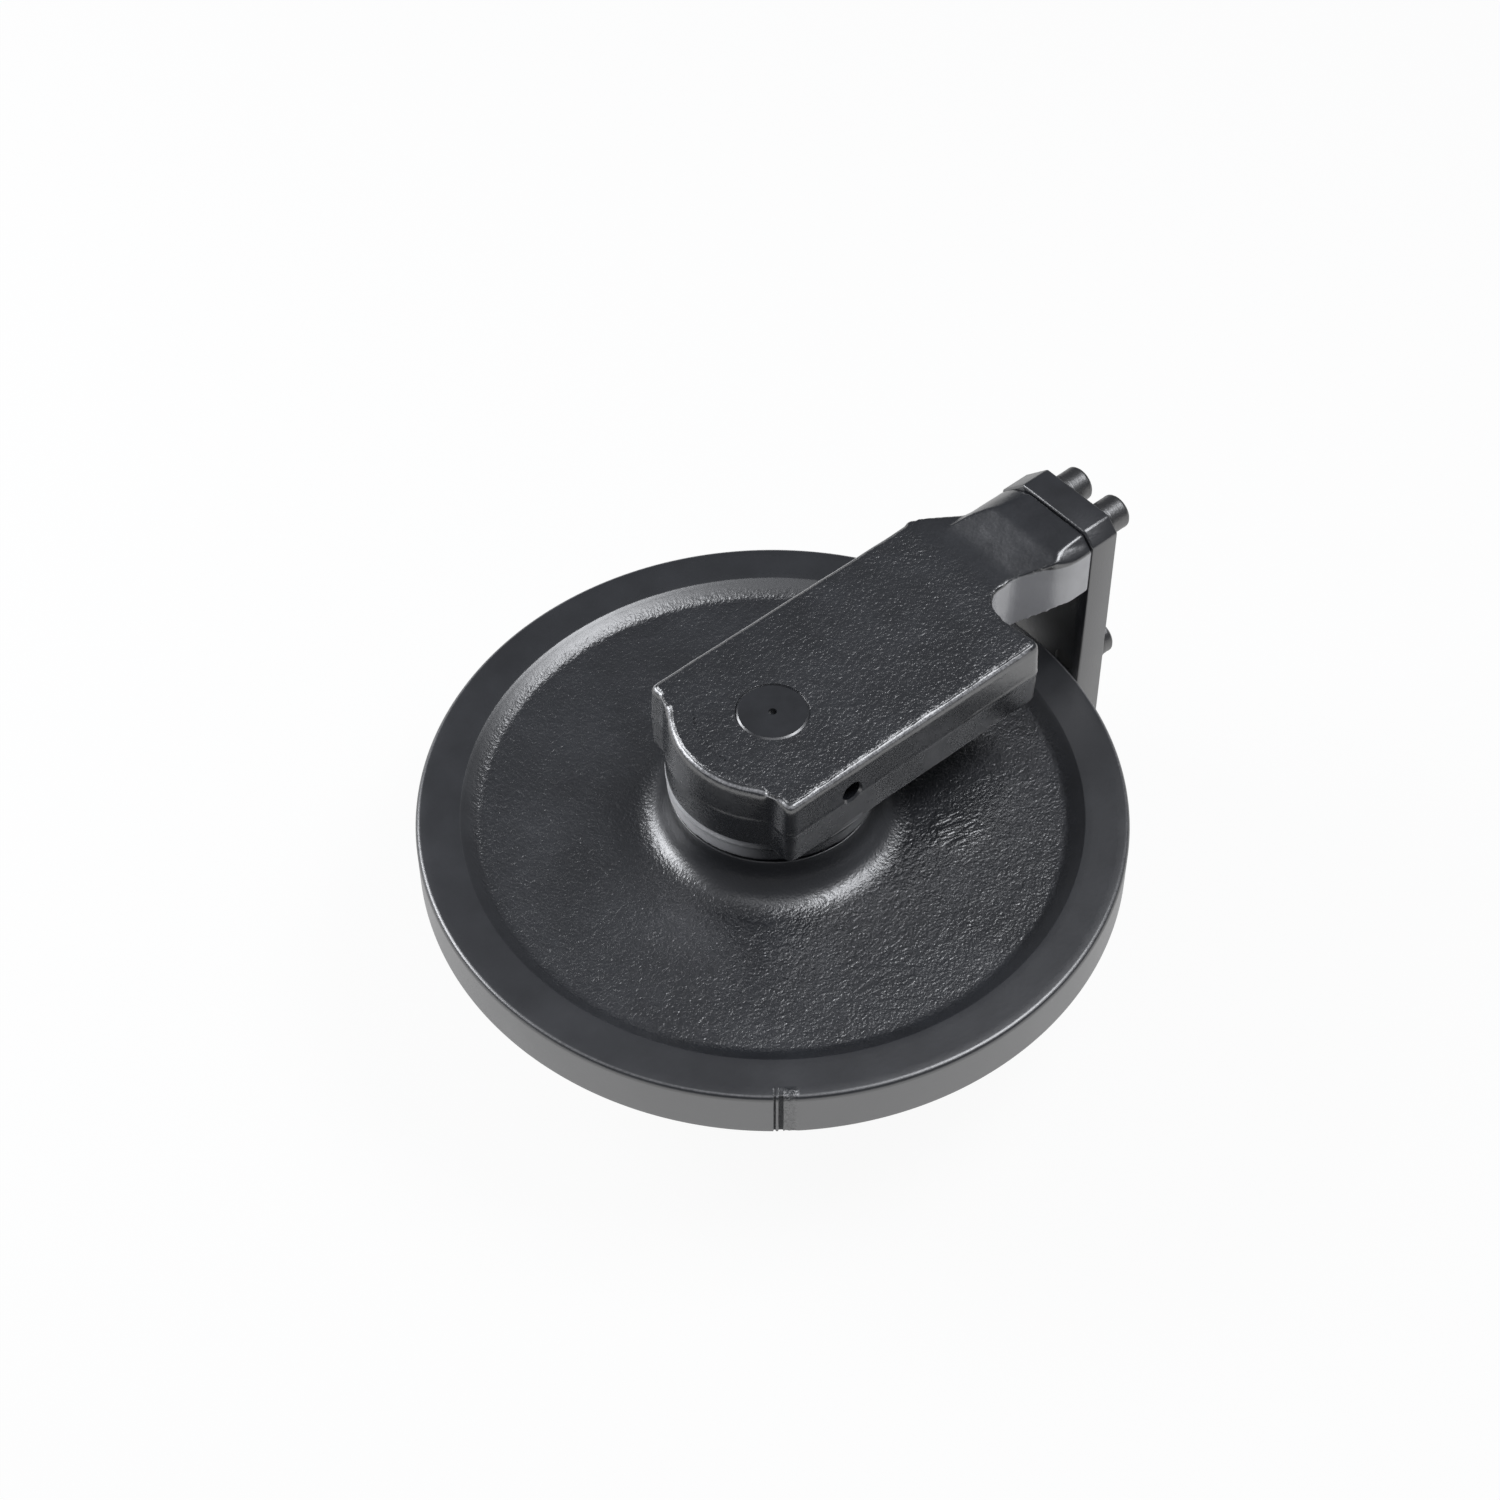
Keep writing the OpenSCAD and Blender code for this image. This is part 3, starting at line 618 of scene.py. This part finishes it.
# Brackets: the casting is remeshed, roughened, then machined
bracketShape = {  # in mm
    "voxel": 1.2, "smoothing": 4, "smoothFactor": 0.5, "sharp": 38,
    "half": 60.0, "top": 93.5, "armEnd": 211.0,
    "partingHeight": 71.0, "partingLift": 0.3, "partingWidth": 1.2, "partingFlat": 0.2, "draft": 2.4,
    "grain": 5.0, "lump": 14.0, "grainDepth": 0.06, "lumpDepth": 0.16, "lumpShift": (7, 3, 1),
    "noseIn": 2.3, "noseRise": 22.0, "noseFront": (26, 36), "noseSide": (35, 45), "noseRadius": 44.0,
    "bodyEnd": (138, 172), "endBand": (208.5, 210.2),
    "ridgeHalf": 6.0, "ridgeStart": 140.0, "ridgeUp": 0.7,
    "armCut": 8.0, "armSide": -32.0, "cutStart": (168, 180), "cutSide": -8.0, "cutUp": 0.45,
    "cutMargin": 1.0,
    "boreRadius": 20.02, "boreFoot": 10.0, "chamfer": 0.6, "overrun": 2.0,
    "collarRadius": 26.4, "pocketRadius": 38.0, "pocketTop": 49.5,
    "bossFoot": 37.5, "bossBand": (48.3, 49.5), "bossReach": 65.0,
    "lockX": 5.0, "lockZ": 75.5, "lockRadius": 6.02, "lockFoot": 12.0, "lockMouth": 59.0,
    "lockBreak": 0.3, "lockOverrun": 3.0,
    "screwRadius": 7.02, "screwHalfPitch": 15.0, "screwHeight": 97.0, "screwDepth": 19.0,
    "screwOverrun": 4.0,
    "plugs": {  # the frame's bores are filled before the remesh, each wider by its margin
        "axle": {"margin": 1.6, "foot": 40.0},
        "pocket": {"margin": 0.8, "past": 1.0},
        "lock": {"margin": 1.8, "foot": 18.0},
        "screw": {"margin": 0.6, "past": 1.0},
    },
}
turnTo = {
    "Z": Matrix(),
    "X": Matrix.Rotation(math.pi / 2, 4, "Y"),
    "-Y": Matrix.Rotation(math.pi / 2, 4, "X"),
}


def addTurned(bm, outline, axis="Z", place=(0, 0, 0), segments=96):  # outline of (radius, height), in mm
    rings = []
    for radius, height in outline:
        angles = [2 * math.pi * k / segments for k in range(segments if radius else 1)]
        rings.append([bm.verts.new((radius * mm * math.cos(a), radius * mm * math.sin(a), height * mm))
                      for a in angles])
    loops = list(zip(rings, rings[1:]))
    if outline[0][0] > 0:
        loops.append((rings[-1], rings[0]))
    faces = []
    for low, high in loops:
        for k in range(segments):
            n = (k + 1) % segments
            if len(low) == 1:
                corners = (low[0], high[n], high[k])
            elif len(high) == 1:
                corners = (low[k], low[n], high[0])
            else:
                corners = (low[k], low[n], high[n], high[k])
            faces.append(bm.faces.new(corners))
    move = Matrix.Translation(Vector(place) * mm) @ turnTo[axis]
    bmesh.ops.transform(bm, matrix=move, verts=[vert for ring in rings for vert in ring])
    bmesh.ops.recalc_face_normals(bm, faces=faces)


def rod(radius, low, high):
    return [(0, low), (radius, low), (radius, high), (0, high)]


def objectFrom(name, bm):
    mesh = bpy.data.meshes.new(name)
    bm.to_mesh(mesh)
    bm.free()
    made = bpy.data.objects.new(name, mesh)
    bpy.context.scene.collection.objects.link(made)
    return made


def settle(made):  # apply the modifiers and hand back the plain mesh
    depsgraph = bpy.context.evaluated_depsgraph_get()
    mesh = bpy.data.meshes.new_from_object(made.evaluated_get(depsgraph))
    made.modifiers.clear()
    made.data = mesh
    return mesh


def cut(made, cutter):
    modifier = made.modifiers.new("cut", "BOOLEAN")
    modifier.operation = "DIFFERENCE"
    modifier.solver = "EXACT"
    modifier.object = cutter
    settle(made)
    bpy.data.objects.remove(cutter)


def screwPlaces(s):
    return [(0, side * s["screwHalfPitch"], s["screwHeight"]) for side in (-1, 1)]


def lockPlace(s):
    return (s["lockX"], 0, s["lockZ"])


def roughCasting(s):
    axle, pocket, lock, screw = (s["plugs"][name] for name in ("axle", "pocket", "lock", "screw"))
    bm = bmesh.new()
    bm.from_mesh(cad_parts["bracket_upper"].data)
    bmesh.ops.remove_doubles(bm, verts=bm.verts, dist=weldGap)
    addTurned(bm, rod(s["boreRadius"] + axle["margin"], axle["foot"], s["top"]))
    pocketTop = s["pocketTop"] + pocket["past"]
    addTurned(bm, rod(s["pocketRadius"] + pocket["margin"], s["bossFoot"], pocketTop))
    addTurned(bm, rod(s["lockRadius"] + lock["margin"], lock["foot"], s["half"]), "-Y", lockPlace(s))
    screwFoot = s["armEnd"] - s["screwDepth"] - screw["past"]
    for place in screwPlaces(s):
        addTurned(bm, rod(s["screwRadius"] + screw["margin"], screwFoot, s["armEnd"]), "X", place)
    casting = objectFrom("casting", bm)
    remesh = casting.modifiers.new("skin", "REMESH")
    remesh.mode = "VOXEL"
    remesh.voxel_size = s["voxel"] * mm
    smooth = casting.modifiers.new("soften", "SMOOTH")
    smooth.factor = s["smoothFactor"]
    smooth.iterations = s["smoothing"]
    roughen(settle(casting), s)
    return casting


def smoothStep(value, low, high):
    t = np.clip((value - low) / (high - low), 0.0, 1.0)
    return t * t * (3 - 2 * t)


def roughen(mesh, s):
    count = len(mesh.vertices)
    co = np.empty(count * 3, np.float32)
    normal = np.empty(count * 3, np.float32)
    mesh.vertices.foreach_get("co", co)
    mesh.vertex_normals.foreach_get("vector", normal)
    co = co.reshape(-1, 3).astype(float) / mm
    normal = normal.reshape(-1, 3).astype(float)
    x, y, z = co.T  # views, so they follow every move of the points
    radius = np.hypot(x, y)
    turned = (1 - smoothStep(z, *s["bossBand"])) * (radius < s["bossReach"])
    cast = (1 - turned) * (1 - smoothStep(x, *s["endBand"]))
    across = np.abs(y)

    # the nose leans back above the parting
    front = smoothStep(-x, *s["noseFront"]) * (1 - smoothStep(across, *s["noseSide"]))
    front = front * (radius > s["noseRadius"])
    x += s["noseIn"] * front * np.clip((z - s["partingHeight"]) / s["noseRise"], 0, 1)

    # a flat corner is cut along the arm
    onRidge = (across < s["ridgeHalf"]) & (normal[:, 2] > s["ridgeUp"]) & (x > s["ridgeStart"])
    ridgeLine = co[onRidge]
    ridgeLine = ridgeLine[np.argsort(ridgeLine[:, 0])]
    armTop = np.interp(x, ridgeLine[:, 0], ridgeLine[:, 2])
    flat = armTop + np.minimum(y - s["armSide"] - s["armCut"], 0)
    corner = smoothStep(x, *s["cutStart"]) * (normal[:, 2] > s["cutUp"]) * (y < s["cutSide"])
    corner = corner * (z > armTop - s["armCut"] - s["cutMargin"])
    z += corner * np.maximum(flat - z, 0)

    # draft away from the parting line, a ridge along it, and the cast skin
    upright = normal.copy()
    upright[:, 2] = 0
    above = z - s["partingHeight"]
    body = cast * (1 - smoothStep(x, *s["bodyEnd"]))
    co -= upright * (body * math.tan(math.radians(s["draft"])) * np.abs(above))[:, None]
    ridge = 1 - smoothStep(np.abs(above), s["partingFlat"], s["partingWidth"])
    ridge = ridge * np.linalg.norm(upright, axis=1) * body
    shift = Vector(s["lumpShift"])
    grain = np.array([noise.noise(Vector(point) / s["grain"]) for point in co])
    lump = np.array([noise.noise(Vector(point) / s["lump"] + shift) for point in co])
    lift = cast * (grain * s["grainDepth"] + lump * s["lumpDepth"]) + ridge * s["partingLift"]
    co += normal * lift[:, None]
    mesh.vertices.foreach_set("co", (co * mm).astype(np.float32).ravel())
    mesh.update()


def machine(casting, s):
    bm = bmesh.new()
    past = s["top"] + s["overrun"]
    mouth = s["boreRadius"] + s["chamfer"] + s["overrun"]
    addTurned(bm, [(0, s["boreFoot"]), (s["boreRadius"], s["boreFoot"]),
                   (s["boreRadius"], s["top"] - s["chamfer"]), (mouth, past), (0, past)], segments=128)
    below = s["bossFoot"] - s["overrun"]
    addTurned(bm, [(s["collarRadius"], below), (s["pocketRadius"], below),
                   (s["pocketRadius"], s["pocketTop"]), (s["collarRadius"], s["pocketTop"])])
    screwHole = rod(s["screwRadius"], s["armEnd"] - s["screwDepth"], s["armEnd"] + s["screwOverrun"])
    for place in screwPlaces(s):
        addTurned(bm, screwHole, "X", place, segments=48)
    cut(casting, objectFrom("bores", bm))
    bm = bmesh.new()
    past = s["lockMouth"] + s["lockOverrun"]
    mouth = s["lockRadius"] + s["lockBreak"] + s["lockOverrun"]
    addTurned(bm, [(0, s["lockFoot"]), (s["lockRadius"], s["lockFoot"]),
                   (s["lockRadius"], s["lockMouth"] - s["lockBreak"]), (mouth, past), (0, past)],
              "-Y", lockPlace(s), segments=64)
    cut(casting, objectFrom("lockBore", bm))


casting = roughCasting(bracketShape)
machine(casting, bracketShape)
upperMesh = casting.data
bpy.data.objects.remove(casting)
paintMesh(upperMesh, bracketPaint)
shadeBySharpness(upperMesh, bracketShape["sharp"])
lowerMesh = upperMesh.copy()
lowerMesh.transform(Matrix.Scale(-1, 4, (0, 0, 1)))
lowerMesh.flip_normals()
showPiece("bracketUpper", upperMesh, "frame", "cast_paint", "bracket_upper")
showPiece("bracketLower", lowerMesh, "frame", "cast_paint", "bracket_lower")
print("brackets cast and machined:", len(upperMesh.polygons), "faces each")


# Axle: the chamfers of the ends are opened to a flatter cone
axleShape = {  # in mm
    "end": 93.5, "radius": 20.0, "across": 1.1, "down": 0.65,
    "rim": 1.0, "flush": 0.1, "chamfer": 1.0, "sharp": 25,
}


def axleShaft(s):
    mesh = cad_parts["axle_shaft"].data.copy()
    for vert in mesh.vertices:
        radius = vert.co.to_2d().length / mm
        below = s["end"] - abs(vert.co.z) / mm
        if radius > s["radius"] - s["rim"] and below < s["flush"]:
            vert.co.xy *= (s["radius"] - s["across"]) / radius
        elif radius > s["radius"] - s["rim"] and below < s["chamfer"]:
            vert.co.z = math.copysign((s["end"] - s["down"]) * mm, vert.co.z)
    paintMesh(mesh, axlePaint)
    shadeBySharpness(mesh, s["sharp"])
    return mesh


showPiece("axleShaft", axleShaft(axleShape), "frame", "axle_paint", "axle_shaft")
print("axle ends chamfered")


# Yoke plate: flame-cut edges broken with a small bevel
plateShape = {
    "bevel": 1.3 * mm, "segments": 3, "shortest": 6 * mm,
    "flatAngle": 1, "cornerAngle": 30, "sharp": 35,
}


def yokePlate(s):
    bm = bmesh.new()
    bm.from_mesh(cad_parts["yoke_plate"].data)
    bmesh.ops.remove_doubles(bm, verts=bm.verts, dist=weldGap)
    flat = math.radians(s["flatAngle"])
    bmesh.ops.dissolve_limit(bm, angle_limit=flat, verts=bm.verts, edges=bm.edges)
    outer = []
    for edge in bm.edges:
        if len(edge.link_faces) != 2 or edge.calc_length() <= s["shortest"]:
            continue
        if edge.calc_face_angle() > math.radians(s["cornerAngle"]):
            outer.append(edge)
    bmesh.ops.bevel(bm, geom=outer, offset=s["bevel"], offset_type="OFFSET", segments=s["segments"],
                    profile=0.5, affect="EDGES")
    mesh = bpy.data.meshes.new("yokePlate")
    bm.to_mesh(mesh)
    bm.free()
    paintMesh(mesh, yokePaint)
    shadeBySharpness(mesh, s["sharp"])
    return mesh


showPiece("yokePlate", yokePlate(plateShape), "frame", "plate_paint", "yoke_plate")
print("yoke plate made")


# Cap screws: one head turned in nodes, its socket cut, set on each point
screwShape = {
    "inputs": {
        "Shank Radius": 7.0 * mm, "Head Radius": 10.5 * mm,
        "Socket Radius": 6.9 * mm, "Knurl Depth": 0.22 * mm,
    },
    "headSides": 96, "headRows": 14, "shankSides": 48, "socketSides": 6, "sharp": 35,
    "ridges": 48.0, "knurlFoot": inMm(1.4, 2.2), "knurlTop": inMm(2.2, 3.2),
    "rim": 1.3 * mm, "rimIn": 0.1, "foot": 0.8 * mm, "footIn": 0.05,
    "socketFoot": 0.5, "socketPast": 1 * mm, "shankPast": 0.4 * mm,
    "seat": 234.0,  # rear of the washers, in mm as the rows
    "rows": {
        "yokeScrewsUpper": {
            "node": "yoke_screws_upper", "height": 97.0, "half": 15.0, "head": 14.0, "shank": 40.0,
        },
        "yokeScrewsLower": {
            "node": "yoke_screws_lower", "height": -97.0, "half": 15.0, "head": 14.0, "shank": 40.0,
        },
        "rodScrews": {
            "node": "rod_screws", "height": 0.0, "half": 19.0, "head": 8.0, "shank": 22.0,
        },
    },
}


def screwGroup(s):
    labels = (*s["inputs"], "Head Height", "Shank Length")
    group, graph, given = newGroup("capScrews", {label: "NodeSocketFloat" for label in labels})

    def drum(radius, low, high, sides, rows=1):
        values = {"Vertices": sides, "Side Segments": rows, "Radius": radius, "Depth": high - low}
        made = graph.node("GeometryNodeMeshCylinder", {"fill_type": "NGON"}, values)
        shift = graph.join(0.0, 0.0, (high + low) * 0.5)
        return graph.node("GeometryNodeTransform", None, {"Geometry": made, "Translation": shift})

    def solve(operation, meshes):
        settings = {"operation": operation, "solver": "EXACT"}
        return graph.node("GeometryNodeMeshBoolean", settings, meshes)

    height = given["Head Height"]
    head = drum(given["Head Radius"], 0.0, height, s["headSides"], s["headRows"])
    x, y, z = graph.split(graph.node("GeometryNodeInputPosition"))
    below = height - z
    ripple = (y.calc("ARCTAN2", y, x) * s["ridges"]).sine()
    knurl = (0.5 - ripple * 0.5) * z.step(*s["knurlFoot"]) * below.step(*s["knurlTop"])
    rim = 1 - below.step(0.0, s["rim"])
    foot = 1 - z.step(0.0, s["foot"])
    pull = 1 - rim * s["rimIn"] - foot * s["footIn"] - knurl * given["Knurl Depth"] / given["Head Radius"]
    shaped = graph.join(x * pull, y * pull, z)
    head = graph.node("GeometryNodeSetPosition", None, {"Geometry": head, "Position": shaped})
    socketFoot = height * s["socketFoot"]
    socket = drum(given["Socket Radius"], socketFoot, height + s["socketPast"], s["socketSides"])
    head = solve("DIFFERENCE", {"Mesh 1": head, "Mesh 2": socket})
    shankEnd = given["Shank Length"] * -1.0
    shank = drum(given["Shank Radius"], shankEnd, s["shankPast"], s["shankSides"])
    screw = solve("UNION", {"Mesh 2": [head, shank]})
    quarter = {"Axis": (0, 1, 0), "Angle": math.pi / 2}
    lay = graph.node("FunctionNodeAxisAngleToRotation", None, quarter)
    values = {"Points": given["Geometry"], "Instance": screw, "Rotation": lay}
    placed = graph.node("GeometryNodeInstanceOnPoints", None, values)
    closeGroup(graph, placed, given["Material"])
    return group


screws = screwGroup(screwShape)
for pieceName, row in screwShape["rows"].items():
    points = [inMm(screwShape["seat"], side * row["half"], row["height"]) for side in (-1, 1)]
    values = {**screwShape["inputs"], "Material": screwPaint}
    values["Head Height"], values["Shank Length"] = inMm(row["head"], row["shank"])
    mesh = runGroup(pieceName, pointMesh(pieceName + "Seats", points), screws, values)
    shadeBySharpness(mesh, screwShape["sharp"])
    showPiece(pieceName, mesh, "frame", "screw_paint", row["node"])
    print(pieceName, len(mesh.polygons), "faces")


# Stage: pale floor, soft lamps
stageLook = {
    "floor": -110.8 * mm, "halfSize": 6.0, "shadow": 0.06, "paper": (0.95, 0.95, 0.95, 1.0),
    "world": 0.15, "air": (0.9, 0.93, 1.0), "lamp": (0.95, 0.965, 1.0), "aim": (0.03, 0.0, 0.0),
}
lamps = {  # places are (right, near, up) as the camera sees them
    "leftBox": {"place": (-1.42, -0.43, 0.93), "size": (1.0, 0.68), "watts": 17.5},
    "rightBox": {"place": (0.90, -0.08, 1.66), "size": (0.95, 0.8), "watts": 17},
    "topBox": {"place": (0.0, 0.7, 1.8), "size": (1.2, 0.5), "watts": 1.8},
}
cameraFit = {  # solved from the wheel's ellipses in the photograph
    "place": (-740.2, -851.0, 1371.4), "right": (0.7617, -0.6479, 0.0), "up": (0.4910, 0.5772, 0.6525),
    "back": (-0.4228, -0.4970, 0.7578), "roll": -0.332, "lens": 75.446, "sensor": 36.0,
}


def pale(name, look):  # white paper that glows where it is seen, with a faint shadow
    material, graph = newMaterial(name)
    onCamera, onGloss = (graph.node("ShaderNodeLightPath", None, None, key)
                         for key in ("Is Camera Ray", "Is Glossy Ray"))
    share = onCamera.atLeast(onGloss) * (1 - look["shadow"])
    matte = graph.node("ShaderNodeBsdfDiffuse", None, {"Color": look["paper"]})
    glow = graph.node("ShaderNodeEmission", None, {"Color": (*white, 1.0), "Strength": 1.0})
    mixed = graph.node("ShaderNodeMixShader", None, {0: share, 1: matte, 2: glow})
    graph.node("ShaderNodeOutputMaterial", None, {"Surface": mixed})
    return material


far, floorHeight = stageLook["halfSize"], stageLook["floor"]
floorCorners = [(x * far, y * far, floorHeight) for x, y in ((-1, -1), (1, -1), (1, 1), (-1, 1))]
floorMesh = bpy.data.meshes.new("studioFloor")
floorMesh.from_pydata(floorCorners, [], [(0, 1, 2, 3)])
floorMesh.materials.append(pale("palePaper", stageLook))
studioFloor = bpy.data.objects.new("studioFloor", floorMesh)
bpy.context.scene.collection.objects.link(studioFloor)

world = bpy.data.worlds.new("studioAir")
bpy.context.scene.world = world
world.use_nodes = True
air = Graph(world.node_tree)
cameraRay = air.node("ShaderNodeLightPath", None, None, "Is Camera Ray")
tint = air.mix(cameraRay, stageLook["air"], white)
strength = cameraRay * (1 - stageLook["world"]) + stageLook["world"]
surround = air.node("ShaderNodeBackground", None, {"Color": tint, "Strength": strength})
air.node("ShaderNodeOutputWorld", None, {"Surface": surround})

upward = Vector((0, 0, 1))
sideways = Vector(cameraFit["right"])
nearer = sideways.cross(upward)
for lampName, lamp in lamps.items():
    light = bpy.data.lights.new(lampName, "AREA")
    light.shape = "RECTANGLE"
    light.size, light.size_y = lamp["size"]
    light.energy = lamp["watts"]
    light.color = stageLook["lamp"]
    holder = bpy.data.objects.new(lampName, light)
    right, near, up = lamp["place"]
    holder.location = sideways * right + nearer * near + upward * up
    aim = Vector(stageLook["aim"]) - holder.location
    holder.rotation_euler = aim.to_track_quat("-Z", "Y").to_euler()
    bpy.context.scene.collection.objects.link(holder)

camera = bpy.data.cameras.new("photoView")
camera.sensor_width = cameraFit["sensor"]
camera.lens = cameraFit["lens"]
camera.dof.use_dof = False
photoView = bpy.data.objects.new("photoView", camera)
axes = Matrix((cameraFit["right"], cameraFit["up"], cameraFit["back"])).transposed()
turned = axes.to_4x4() @ Matrix.Rotation(math.radians(cameraFit["roll"]), 4, "Z")
photoView.matrix_world = Matrix.Translation(Vector(cameraFit["place"]) * mm) @ turned
bpy.context.scene.collection.objects.link(photoView)
bpy.context.scene.camera = photoView
bpy.context.scene.view_settings.view_transform = "Standard"
print("stage, lamps and camera set")
